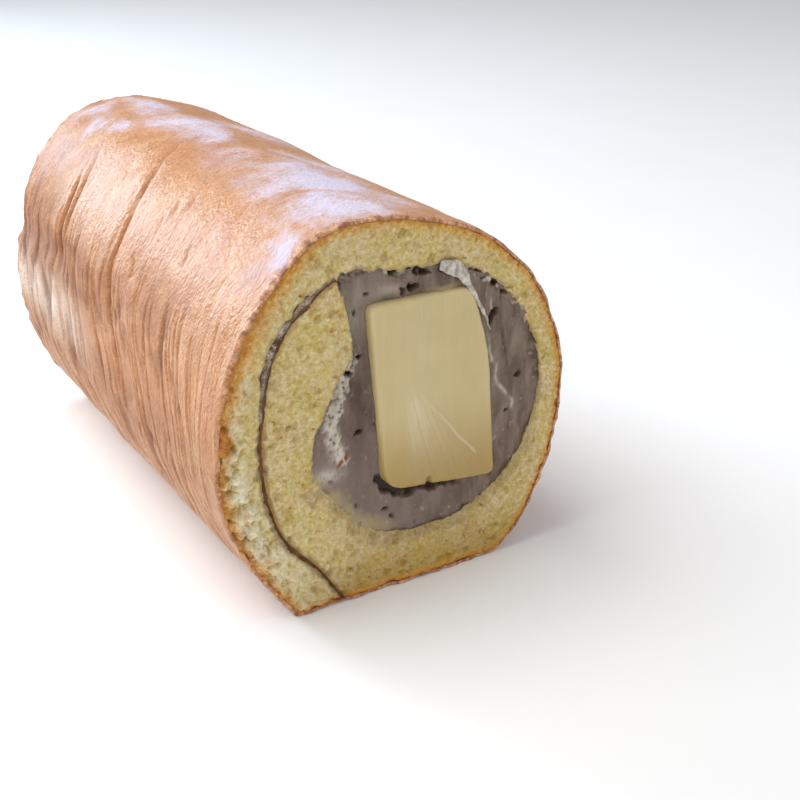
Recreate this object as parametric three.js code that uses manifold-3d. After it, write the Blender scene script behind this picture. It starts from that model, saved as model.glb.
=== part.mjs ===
// A cut swiss roll: one sheet of sponge rolled round taro paste, with a bar of milk pudding in the middle.
// Millimetres, +Z up. The roll lies along Y on its flat base, with the cut face that shows at -Y.
// The sheet starts as a thin tip at the upper left of the paste, goes down the left side, under the paste,
// up the right side, over the top and down the far left again, where its end is tucked under the roll.
import * as THREE from "three";
import { mergeVertices } from "three/addons/utils/BufferGeometryUtils.js";
import Module from "manifold-3d";

const wasm = await Module();
wasm.setup();

// Driving sizes
const rollLength = 144;
const rollWidth = 90;
const rollHeight = 90;
const pieceGap = 0.3; // clear space between sponge, paste and pudding
const seamGap = 0.5; // between two turns of the sponge
const filmThickness = 1.3; // paste pressed into the upper part of the seam
const filmShare = 0.42; // how far along the seam that paste reaches
const puddingProud = 0.6; // the pudding stands out of the cut
const pasteSunk = 1.0; // and the paste lies a little behind it

// How finely the faceted solids are divided
const skinSides = 68;
const baseSides = 6;
const stationStep = 6;
const overrun = 4; // the uncut pieces run this far past both cuts

// Outlines of the cross-section, in hundredths of the roll's width and height
const skinPath = [
  [-31, 0], [-42.7, 16.7], [-48.9, 33.3], [-50, 47.8], [-47.3, 64.4], [-38.7, 83.3], [-24.4, 96.7],
  [-10, 100], [7.8, 97.2], [25.6, 90], [39.4, 77.2], [47.6, 61.1], [50, 46.7], [46.7, 25.6],
  [38.9, 8.9], [30, 0],
];
const pastePath = [
  [-17, 87.5], [-3, 86.8], [10, 85.2], [22, 82.2], [31.5, 74.5], [38.5, 64], [42, 51], [40, 38],
  [31, 24.5], [18, 16.8], [4, 15.4], [-8, 18.5], [-18.5, 28.5], [-25, 39.5], [-23, 50.5], [-18, 60.5],
  [-13.6, 67], [-14.6, 77],
];
const seamPath = [
  [-13.2, 86], [-17.6, 87.2], [-28.5, 80.3], [-35.2, 71.5], [-38, 58], [-38.9, 46.5], [-37.3, 32.2],
  [-32.8, 21], [-25, 12], [-17.2, 0],
];
const puddingCorners = [
  { x: -9.6, z: 79, radius: 2 },
  { x: 19.6, z: 79, radius: 2.4 },
  { x: 25.2, z: 62, radius: 9 },
  { x: 28, z: 25, radius: 3 },
  { x: -5.6, z: 28.6, radius: 6.5 },
];

// Folds that run round the roll: where they lie from the cut, over which angles about the roll's middle
// (0 is right, 90 is the top, 180 is left), how deep and how wide. A negative depth is a ridge.
const folds = [
  { along: 112, from: 120, to: 172, depth: 1.7, width: 1.5 },
  { along: 108, from: 118, to: 168, depth: 0.9, width: 1.3 },
  { along: 74, from: 110, to: 192, depth: 1.6, width: 1.8 },
  { along: 97, from: 150, to: 200, depth: 1.1, width: 1.6 },
  { along: 84, from: 158, to: 205, depth: 0.8, width: 1.4 },
  { along: 55, from: 165, to: 210, depth: 0.7, width: 1.5 },
  { along: 8, from: 128, to: 200, depth: -1.0, width: 3.2 },
  { along: 40, from: -20, to: 42, depth: 1.1, width: 1.7 },
  { along: 92, from: -28, to: 30, depth: 1.4, width: 1.8 },
  { along: 118, from: -15, to: 55, depth: 0.9, width: 1.5 },
];
const foldLean = 14; // folds sweep this far towards the cut as they go under the roll
const waveHeight = 0.8;
const waveLength = 34;
const dimpleHeight = 0.22;
const dimpleLength = 7;
const farLean = 5; // the far cut leans back from the base to the top by this much
const sideDent = { from: 92, angle: 163, spread: 5, depth: 1.1 };

const middle = rollHeight / 2;
const place = ([x, z]) => new THREE.Vector3((x * rollWidth) / 100, 0, (z * rollHeight) / 100);
const curveThrough = (path, closed) => new THREE.CatmullRomCurve3(path.map(place), closed, "centripetal");
const smooth = (low, high, value) => THREE.MathUtils.smoothstep(value, low, high);
const bell = (offset, width) => Math.exp(-((offset / width) ** 2));
const degrees = (x, z) => (THREE.MathUtils.radToDeg(Math.atan2(z - middle, x)) + 450) % 360 - 90;

// Smooth noise from -1 to 1, the same on every run
function latticeValue(i, j, k) {
  const mixed = Math.sin(i * 127.1 + j * 311.7 + k * 74.7) * 43758.5453;
  return (mixed - Math.floor(mixed)) * 2 - 1;
}

function noise(x, y, z) {
  const cell = [x, y, z].map(Math.floor);
  const [u, v, w] = [x, y, z].map((value, n) => smooth(0, 1, value - cell[n]));
  let sum = 0;
  for (const i of [0, 1])
    for (const j of [0, 1])
      for (const k of [0, 1]) {
        const share = (i ? u : 1 - u) * (j ? v : 1 - v) * (k ? w : 1 - w);
        sum += share * latticeValue(cell[0] + i, cell[1] + j, cell[2] + k);
      }
  return sum;
}

// From a closed mesh to a solid that can be cut, and back
function solidOf(geometry) {
  const bare = geometry.clone();
  bare.deleteAttribute("normal");
  bare.deleteAttribute("uv");
  const merged = mergeVertices(bare, 1e-4);
  const triVerts = new Uint32Array(merged.index.array);
  const vertProperties = new Float32Array(merged.attributes.position.array);
  return new wasm.Manifold(new wasm.Mesh({ numProp: 3, vertProperties, triVerts }));
}

function geometryOf(solid) {
  const { vertProperties, triVerts } = solid.getMesh();
  const geometry = new THREE.BufferGeometry();
  geometry.setAttribute("position", new THREE.BufferAttribute(new Float32Array(vertProperties), 3));
  geometry.setIndex(new THREE.BufferAttribute(new Uint32Array(triVerts), 1));
  geometry.computeVertexNormals();
  return geometry;
}

// Rings of points, one behind the other, joined into one closed mesh with a fan on each end
function loft(rings) {
  const sides = rings[0].length;
  const points = rings.flat();
  const faces = [];
  const at = (ring, side) => ring * sides + (side % sides);
  for (let ring = 0; ring + 1 < rings.length; ring++)
    for (let side = 0; side < sides; side++) {
      const corners = [at(ring, side), at(ring, side + 1), at(ring + 1, side + 1), at(ring + 1, side)];
      faces.push(corners[0], corners[1], corners[2], corners[0], corners[2], corners[3]);
    }
  for (const [ring, turned] of [[0, true], [rings.length - 1, false]]) {
    const centre = new THREE.Vector3();
    rings[ring].forEach((point) => centre.addScaledVector(point, 1 / sides));
    points.push(centre);
    for (let side = 0; side < sides; side++) {
      const edge = [at(ring, side), at(ring, side + 1)];
      if (turned) edge.reverse();
      faces.push(edge[0], edge[1], points.length - 1);
    }
  }
  const geometry = new THREE.BufferGeometry().setFromPoints(points);
  geometry.setIndex(faces);
  return geometry;
}

// A flat outline in X and Z drawn out along the roll, from y = -overrun to past the far cut
function bar(outline) {
  const shape = new THREE.Shape(outline.map((point) => new THREE.Vector2(point.x, point.z)));
  const depth = rollLength + 2 * overrun;
  const geometry = new THREE.ExtrudeGeometry(shape, { depth, bevelEnabled: false });
  geometry.rotateX(Math.PI / 2);
  geometry.translate(0, rollLength + overrun, 0);
  return solidOf(geometry);
}

// What lies between the two knife cuts. Each cut face is a field of small heights.
function betweenCuts(cell, heightAt) {
  const half = rollWidth / 2 + overrun;
  const columns = Math.round((2 * half) / cell);
  const low = -overrun;
  const rings = [];
  const pointAt = (column, row, far) => {
    const x = -half + (2 * half * column) / columns;
    const z = low + ((rollHeight + 2 * overrun) * row) / columns;
    const farCut = rollLength + farLean * (z / rollHeight - 0.35);
    return new THREE.Vector3(x, far ? farCut - heightAt(x, z, 1) : heightAt(x, z, 0), z);
  };
  const faces = [];
  const index = (column, row, far) => (far * (columns + 1) + row) * (columns + 1) + column;
  for (const far of [0, 1])
    for (let row = 0; row <= columns; row++)
      for (let column = 0; column <= columns; column++) rings.push(pointAt(column, row, far));
  const quad = (a, b, c, d) => faces.push(a, b, c, a, c, d);
  for (let row = 0; row < columns; row++)
    for (let column = 0; column < columns; column++) {
      const corner = (far, dc, dr) => index(column + dc, row + dr, far);
      quad(corner(0, 0, 0), corner(0, 1, 0), corner(0, 1, 1), corner(0, 0, 1));
      quad(corner(1, 0, 0), corner(1, 0, 1), corner(1, 1, 1), corner(1, 1, 0));
    }
  for (let n = 0; n < columns; n++) {
    quad(index(n, 0, 0), index(n, 0, 1), index(n + 1, 0, 1), index(n + 1, 0, 0));
    quad(index(n, columns, 0), index(n + 1, columns, 0), index(n + 1, columns, 1), index(n, columns, 1));
    quad(index(0, n, 0), index(0, n + 1, 0), index(0, n + 1, 1), index(0, n, 1));
    quad(index(columns, n, 0), index(columns, n, 1), index(columns, n + 1, 1), index(columns, n + 1, 0));
  }
  const geometry = new THREE.BufferGeometry().setFromPoints(rings);
  geometry.setIndex(faces);
  return solidOf(geometry);
}

// A closed strip that follows a path, as wide on each side as halfWidth says for each share of its length
function strip(curve, from, to, halfWidth) {
  const steps = Math.round(48 * (to - from));
  const sides = [[], []];
  for (let n = 0; n <= steps; n++) {
    const share = from + ((to - from) * n) / steps;
    const point = curve.getPointAt(share);
    const run = curve.getTangentAt(share);
    const out = new THREE.Vector3(run.z, 0, -run.x);
    sides[0].push(point.clone().addScaledVector(out, halfWidth(share)));
    sides[1].push(point.clone().addScaledVector(out, -halfWidth(share)));
  }
  return sides[0].concat(sides[1].reverse());
}

// A closed outline moved outwards, or inwards by a negative distance
function moved(outline, distance) {
  const area = outline.reduce((sum, point, n) => {
    const next = outline[(n + 1) % outline.length];
    return sum + point.x * next.z - next.x * point.z;
  }, 0);
  const outward = Math.sign(area) * distance;
  return outline.map((point, n) => {
    const before = outline[(n + outline.length - 1) % outline.length];
    const after = outline[(n + 1) % outline.length];
    const run = after.clone().sub(before).normalize();
    return new THREE.Vector3(point.x + run.z * outward, 0, point.z - run.x * outward);
  });
}

// Straight sides with rounded corners
function roundedOutline(corners) {
  const points = corners.map(({ x, z }) => place([x, z]));
  const count = corners.length;
  return corners.flatMap(({ radius }, n) => {
    const corner = points[n];
    const before = points[(n + count - 1) % count].clone().sub(corner).setLength(radius).add(corner);
    const after = points[(n + 1) % count].clone().sub(corner).setLength(radius).add(corner);
    return new THREE.QuadraticBezierCurve3(before, corner, after).getPoints(5);
  });
}

// How far the skin stands out or lies in at a place on the roll
function skinRelief(along, angle) {
  let out = 0;
  for (const fold of folds) {
    const ends = smooth(fold.from, fold.from + 14, angle) * (1 - smooth(fold.to - 14, fold.to, angle));
    out -= fold.depth * ends * bell(along - fold.along, fold.width);
    out += 0.2 * fold.depth * ends * bell(along - fold.along - 2.2 * fold.width, fold.width);
  }
  const turn = THREE.MathUtils.degToRad(angle);
  const [c, s] = [Math.cos(turn), Math.sin(turn)];
  const wide = (rollWidth / 2) / waveLength;
  const fine = (rollWidth / 2) / dimpleLength;
  out += waveHeight * noise(wide * c + 7, along / waveLength, wide * s + 3);
  out += dimpleHeight * noise(fine * c, along / dimpleLength, fine * s + 11);
  out -= sideDent.depth * smooth(sideDent.from, sideDent.from + 20, along) * bell(angle - sideDent.angle, sideDent.spread);
  return out;
}

// One ring of the outer skin. The base stays flat on the table.
const skinCurve = curveThrough(skinPath, false);

function skinRing(along) {
  const ring = [];
  for (let n = 0; n <= skinSides; n++) {
    const share = n / skinSides;
    const point = skinCurve.getPointAt(share);
    const run = skinCurve.getTangentAt(share);
    const angle = degrees(point.x, point.z);
    const free = smooth(0, 9, point.z);
    const under = smooth(0, 25, point.z) * Math.sin((Math.PI * THREE.MathUtils.clamp(along / rollLength, 0, 1)));
    const side = point.x < 0 ? smooth(155, 188, angle) : 0.4 * (1 - smooth(-10, 25, angle));
    const relief = free * skinRelief(along, angle);
    point.x -= run.z * relief;
    point.z = Math.max(0, point.z + run.x * relief);
    point.y = along - foldLean * side * under;
    ring.push(point);
  }
  const [start, end] = [ring[ring.length - 1], ring[0]];
  for (let n = 1; n < baseSides; n++) ring.push(start.clone().lerp(end, n / baseSides));
  return ring;
}

// Stations along the roll: even steps, and closer ones at each fold
function stations() {
  const wanted = [];
  for (let along = -overrun; along <= rollLength + overrun; along += stationStep) wanted.push(along);
  for (const { along, width } of folds) for (const k of [-1, 0, 1]) wanted.push(along + k * width);
  wanted.push(rollLength + overrun);
  wanted.sort((a, b) => a - b);
  return wanted.filter((along, n) => n === 0 || along - wanted[n - 1] > 1.2);
}

// The sponge: the skin's loft, cut at both ends, less the room for the paste and the seam between the turns
const seamCurve = curveThrough(seamPath, false);
const seamEnd = seamCurve.getPointAt(1);
const pasteOutline = curveThrough(pastePath, true).getSpacedPoints(72).slice(0, -1);
const filmHalf = (share) => (filmThickness / 2) * (1 - 0.55 * smooth(0.1, filmShare, share));
const seamHalf = (share) => Math.max(seamGap / 2, share < filmShare + 0.03 ? filmHalf(share) + pieceGap : 0);

function spongeRoll() {
  const crumb = (x, z, far) => {
    const reach = Math.hypot(x, z - middle) / middle;
    const torn = smooth(0.86, 0.98, reach) * bell(degrees(x, z) - 190, 32);
    return 0.45 * noise(x / 4, z / 4, 5 + 9 * far) + 0.3 + torn * (0.9 + 0.7 * noise(x / 3, z / 3, 2 + far));
  };
  const slot = strip(seamCurve, 0, 1, seamHalf);
  const mouth = [-1, 1].map((k) => new THREE.Vector3(seamEnd.x + k * (seamGap / 2), 0, 0.8));
  const exit = [mouth[0], mouth[1], ...[1, -1].map((k) => new THREE.Vector3(seamEnd.x + k * 0.6 + 0.5, 0, -2))];
  return solidOf(loft(stations().map(skinRing)))
    .intersect(betweenCuts(4.2, crumb))
    .subtract(bar(moved(pasteOutline, pieceGap)))
    .subtract(bar(slot))
    .subtract(bar(exit));
}

// The taro paste: a tube round the pudding with a film that runs on into the seam
const puddingOutline = roundedOutline(puddingCorners);

function taroPaste() {
  const smears = (x, z, far) => pasteSunk + 0.55 * noise(x / 5, z / 9, 21 + 4 * far) + 0.25 * noise(x / 2.5, z / 4, 8);
  return bar(pasteOutline)
    .add(bar(strip(seamCurve, 0, filmShare, filmHalf)))
    .intersect(betweenCuts(4.2, smears))
    .subtract(bar(moved(puddingOutline, pieceGap)));
}

// The milk pudding: a soft bar with the ridges that the knife drew down its cut face
function milkPudding() {
  const knifeMarks = (x, z) => -puddingProud + 0.12 * Math.sin(x * 1.9 + 0.02 * z) + 0.25 * noise(x / 9, z / 14, 3);
  return bar(puddingOutline).intersect(betweenCuts(3, knifeMarks));
}

const finishes = {
  sponge_roll: { color: "#d9a066", roughness: 0.85, metalness: 0 },
  taro_paste: { color: "#857a7e", roughness: 0.6, metalness: 0 },
  milk_pudding: { color: "#d8cb98", roughness: 0.4, metalness: 0 },
};
const foods = { sponge_roll: spongeRoll(), taro_paste: taroPaste(), milk_pudding: milkPudding() };

const swissRoll = new THREE.Group();
for (const [name, solid] of Object.entries(foods)) {
  const mesh = new THREE.Mesh(geometryOf(solid), new THREE.MeshStandardMaterial(finishes[name]));
  mesh.name = name;
  swissRoll.add(mesh);
}

// The origin is under the middle of the whole roll
const bounds = new THREE.Box3().setFromObject(swissRoll, true);
const centre = bounds.getCenter(new THREE.Vector3());
swissRoll.position.set(-centre.x, -centre.y, -bounds.min.z);

export default swissRoll;
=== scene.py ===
import math

import bmesh
import bpy
import numpy as np
from bpy.props import FloatProperty, FloatVectorProperty, IntProperty, PointerProperty
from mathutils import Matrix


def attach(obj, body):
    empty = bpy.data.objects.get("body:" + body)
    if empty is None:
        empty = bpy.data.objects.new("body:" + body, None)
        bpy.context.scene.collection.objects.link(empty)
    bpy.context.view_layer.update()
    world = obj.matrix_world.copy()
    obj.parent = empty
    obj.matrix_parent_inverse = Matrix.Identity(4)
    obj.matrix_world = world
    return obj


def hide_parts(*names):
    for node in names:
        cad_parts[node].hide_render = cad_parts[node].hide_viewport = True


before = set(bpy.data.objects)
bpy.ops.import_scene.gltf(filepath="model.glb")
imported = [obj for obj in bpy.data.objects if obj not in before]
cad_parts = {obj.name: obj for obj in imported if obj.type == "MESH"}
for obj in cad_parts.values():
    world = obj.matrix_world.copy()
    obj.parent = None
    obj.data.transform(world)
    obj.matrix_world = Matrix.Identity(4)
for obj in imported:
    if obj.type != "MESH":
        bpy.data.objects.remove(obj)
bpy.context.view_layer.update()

bl_info = {
    "name": "Cut Swiss Roll",
    "version": (1, 0, 0),
    "blender": (4, 5, 0),
    "location": "3D View > Sidebar > Swiss Roll",
    "description": "A sponge sheet rolled round taro paste and a bar of milk pudding, cut at both ends",
    "category": "Add Mesh",
}

# Outlines of the cross-section, in hundredths of the roll's width and height
SKIN_PATH = (
    (-31, 0), (-42.7, 16.7), (-48.9, 33.3), (-50, 47.8), (-47.3, 64.4), (-38.7, 83.3), (-24.4, 96.7),
    (-10, 100), (7.8, 97.2), (25.6, 90), (39.4, 77.2), (47.6, 61.1), (50, 46.7), (46.7, 25.6), (38.9, 8.9),
    (30, 0),
)
PASTE_PATH = (
    (-17, 87.5), (-3, 86.8), (10, 85.2), (22, 82.2), (31.5, 74.5), (38.5, 64), (42, 51), (40, 38),
    (31, 24.5), (18, 16.8), (4, 15.4), (-8, 18.5), (-18.5, 28.5), (-25, 39.5), (-23, 50.5), (-18, 60.5),
    (-13.6, 67), (-14.6, 77),
)
SEAM_PATH = (
    (-13.2, 86), (-17.6, 87.2), (-28.5, 80.3), (-35.2, 71.5), (-38, 58), (-38.9, 46.5), (-37.3, 32.2),
    (-32.8, 21), (-25, 12), (-17.2, 0),
)
# The pudding's corners, each with how far its rounding reaches in millimetres
PUDDING_CORNERS = ((-9.6, 79, 2), (19.6, 79, 2.4), (25.2, 62, 9), (28, 25, 3), (-5.6, 28.6, 6.5))

# The rest of the cross-section is in millimetres and degrees about the middle.
ORIGIN = (0.3835, -73.1509, 0)  # the foot of the near cut, in the frame
MIDDLE_X = 2.0
TIP = 118.2  # angle of the sheet's inner end
FILM_SHARE = 0.42  # share of the seam that has a film of paste in it
SEAM_GAP = 0.22  # half the gap in the rest of the seam
SMEAR_PATH = (
    (9.3, 77), (12, 76.3), (14.4, 75), (15.9, 72.8), (17.7, 69.6), (19.5, 66.4), (21.2, 63.1), (22.4, 59.8),
)

# Folds that run round the roll: place along it, first and last angle, depth (a ridge's is below 0), width
FOLDS = (
    (110.5, 130, 168, 1.6, 1.5), (107.3, 119, 164, 0.9, 1.3), (71, 106, 192, 1.6, 1.8),
    (97, 150, 200, 1.1, 1.6), (84, 158, 205, 0.8, 1.4), (55, 165, 210, 0.7, 1.5), (8, 128, 200, -1.0, 3.2),
    (10.5, 136, 206, 0.5, 1.2), (40, -20, 42, 1.1, 1.7), (92, -28, 30, 1.4, 1.8), (118, -15, 55, 0.9, 1.5),
)
# Short nicks in the skin: place along the roll, angle, depth
NICKS = (
    (54, 128, 0.5), (50, 124, 0.45), (55, 136, 0.5), (37, 139, 0.5), (59, 149, 0.6), (30, 118, 0.35),
    (88, 128, 0.4),
)
# Patches of fine starch dust on the skin: place along the roll, angle, how far each way, strength
DUST = (
    (103, 95, 14, 11, 1.1), (36, 93, 15, 14, 1.5), (10, 101, 11, 15, 1.3), (6.5, 126, 6, 6, 1.15),
    (128, 117, 8, 5, 0.9), (116, 112, 6, 4, 0.8), (128, 130, 13, 8, 0.32), (67, 101, 13, 9, 0.5),
    (90, 98, 9, 9, 0.9), (130, 97, 14, 8, 0.9), (141, 111, 5, 7, 0.8), (56, 74, 12, 12, 0.9),
    (98, 72, 15, 9, 0.8), (20, 76, 9, 9, 0.8),
)
# Browner places on the skin, partly browning and partly painted shade: strength, where along the roll it
# begins and is full, angle, how far round
BROWN_AND_SHADE = (
    (0.2, 104, 118, 131, 13), (0.5, 76, 98, 167, 7), (0.3, 108, 124, 113, 11), (0.55, 110, 122, 150, 12),
    (0.45, 15, 45, 192, 20),
)
# Pits in the paste at the cut: place across and up, radius, depth
PITS = (
    (23.4, 60.8, 0.6, 1.4), (23.9, 61.7, 0.8, 2.0), (24.5, 62.6, 0.8, 2.0), (25.1, 63.5, 0.5, 1.2),
    (32.1, 46.3, 0.9, 1.8), (3.2, 73, 1.1, 2.4), (0.6, 72.4, 0.8, 1.2), (20.2, 74.8, 1.4, 2.6),
    (21.6, 74.2, 0.8, 1.6), (-10.4, 41.5, 0.7, 1.6), (-13.2, 56.3, 0.8, 2.0), (-12.4, 64.4, 0.7, 1.4),
    (-10.4, 60, 0.6, 1.4), (4.1, 76.7, 1.0, 2.0), (6.3, 76, 0.9, 1.8), (-1.4, 77.4, 1.0, 1.8),
    (24.4, 70.4, 0.7, 1.4), (27, 68, 0.7, 1.4), (28.5, 38, 0.6, 1.0), (-4, 20.5, 0.8, 1.0),
)
# The ragged edge of the flake beside the pudding: height, place across
FLAKE = (
    (40.4, 30.2), (42.8, 27.9), (45.8, 26.1), (47.6, 25.4), (50.7, 25.6), (51.4, 24.2), (53.9, 23.6),
    (58.3, 22.8),
)
# Bits of brown skin caught in the paste: place across and up, half width, half height
FLECKS = ((-15.6, 35.4, 0.6, 1.2), (-14, 36.6, 0.4, 1.1), (-21.8, 43, 0.4, 2.0), (-22.7, 37.2, 0.5, 1.1))
# Brown spots where the skin is torn back from the crumb: place across and up, radius
BARE = (
    (-43.6, 50, 1.5), (-42, 46.6, 1.6), (-44, 57, 0.9), (-41, 68, 1.0), (-39, 30, 1.2), (-34, 17, 1.4),
    (45, 52, 1.3),
)

# The studio, in metres
CAMERA_PLACE, CAMERA_DIRECTION = (-0.1328, -0.29155, 0.1651), (0.4708, 0.7772, -0.4175)
LIGHTS_AIM = (0, 0, 0.045)
# Lights: setting with the watts, colour, sides, place
LIGHTS = (
    ("window", "#d6ecff", (0.34, 0.26), (-0.36, 0.89, 0.32)),
    ("top", "#ffffff", (0.8, 0.8), (-0.40, 0.15, 0.85)),
    ("front", "#ffffff", (0.9, 0.9), (0.30, -0.95, 0.60)),
)


def smooth(low, high, value):
    """0 below low, 1 above high, with a soft step between."""
    t = np.clip((value - low) / (high - low), 0, 1)
    return t * t * (3 - 2 * t)


def plateau(a, b, c, d, value):
    """0 below a, 1 from b to c and 0 above d, with soft steps between."""
    return smooth(a, b, value) * smooth(d, c, value)


def bell(offset, width):
    """1 at no offset, falling away on both sides."""
    return np.exp(-((offset / width) ** 2))


def lattice(i, j, k):
    """A fixed number from -1 to 1 for each whole-number place."""
    mixed = np.sin(i * 127.1 + j * 311.7 + k * 74.7) * 43758.5453
    return (mixed - np.floor(mixed)) * 2 - 1


def noise(x, y, z):
    """Smooth noise from -1 to 1, the same on every run."""
    x, y, z = np.broadcast_arrays(x, y, z)
    cell = [np.floor(v) for v in (x, y, z)]
    share = [smooth(0, 1, v - c) for v, c in zip((x, y, z), cell)]
    total = 0
    for corner in range(8):
        bits = [corner & 1, corner >> 1 & 1, corner >> 2 & 1]
        weight = np.prod([s if b else 1 - s for s, b in zip(share, bits)], axis=0)
        total = total + weight * lattice(*(c + b for c, b in zip(cell, bits)))
    return total


def rough(x, y, z):
    """Three sizes of noise together."""
    return sum(noise(x * 2**n, y * 2**n, z + 17 * n) / 2**n for n in range(3)) / 1.6


def grains(x, y, seed):
    """Distance to the nearest of one random point in each unit square, and that point's own number."""
    nearest = np.full(x.shape, 9.0)
    own = np.zeros(x.shape)
    cx, cy = np.floor(x), np.floor(y)
    for i in (-1, 0, 1):
        for j in (-1, 0, 1):
            a, b = cx + i, cy + j
            off_x = x - a - 0.5 - 0.45 * lattice(a, b, seed)
            off_y = y - b - 0.5 - 0.45 * lattice(b, a, seed + 5)
            gap = np.hypot(off_x, off_y)
            own = np.where(gap < nearest, lattice(a, b, seed + 9), own)
            nearest = np.minimum(gap, nearest)
    return nearest, own


def spline(points, closed=False):
    """A smooth line through the points, close enough to straight between its own points."""
    p = np.array(points, float)
    if closed:
        p = np.vstack([p[-1], p, p[0], p[1]])
    else:
        p = np.vstack([2 * p[0] - p[1], p, 2 * p[-1] - p[-2]])
    t = np.linspace(0, 1, 24, endpoint=False)[:, None]
    parts = []
    for a, b, c, d in zip(p, p[1:], p[2:], p[3:]):
        u, v, w = (math.sqrt(np.linalg.norm(q - r)) for q, r in ((b, a), (c, b), (d, c)))
        m = ((b - a) / u - (c - a) / (u + v) + (c - b) / v) * v
        n = ((c - b) / v - (d - b) / (v + w) + (d - c) / w) * v
        parts.append((2 * b - 2 * c + m + n) * t**3 + (3 * c - 3 * b - 2 * m - n) * t**2 + m * t + b)
    if not closed:
        parts.append(p[-2:-1])
    return np.vstack(parts)


def travelled(line, dense=1.0):
    """How far along the line each of its points is. Steps count for more where it is dense."""
    step = np.hypot(*np.diff(line, axis=0).T) * np.broadcast_to(dense, len(line))[1:]
    return np.concatenate([[0], np.cumsum(step)])


def spaced(line, count, dense=1.0):
    """The line again as so many points, evenly spread, or closer together where it is dense."""
    run = travelled(line, dense)
    return points_at(line, run, np.linspace(0, run[-1], count))


def points_at(line, run, wanted):
    return np.stack([np.interp(wanted, run, line[:, n]) for n in (0, 1)], 1)


def polar(centre, reach, turn):
    """Places across and up, so far from the centre at an angle in radians."""
    return centre[0] + reach * np.cos(turn), centre[1] + reach * np.sin(turn)


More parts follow.
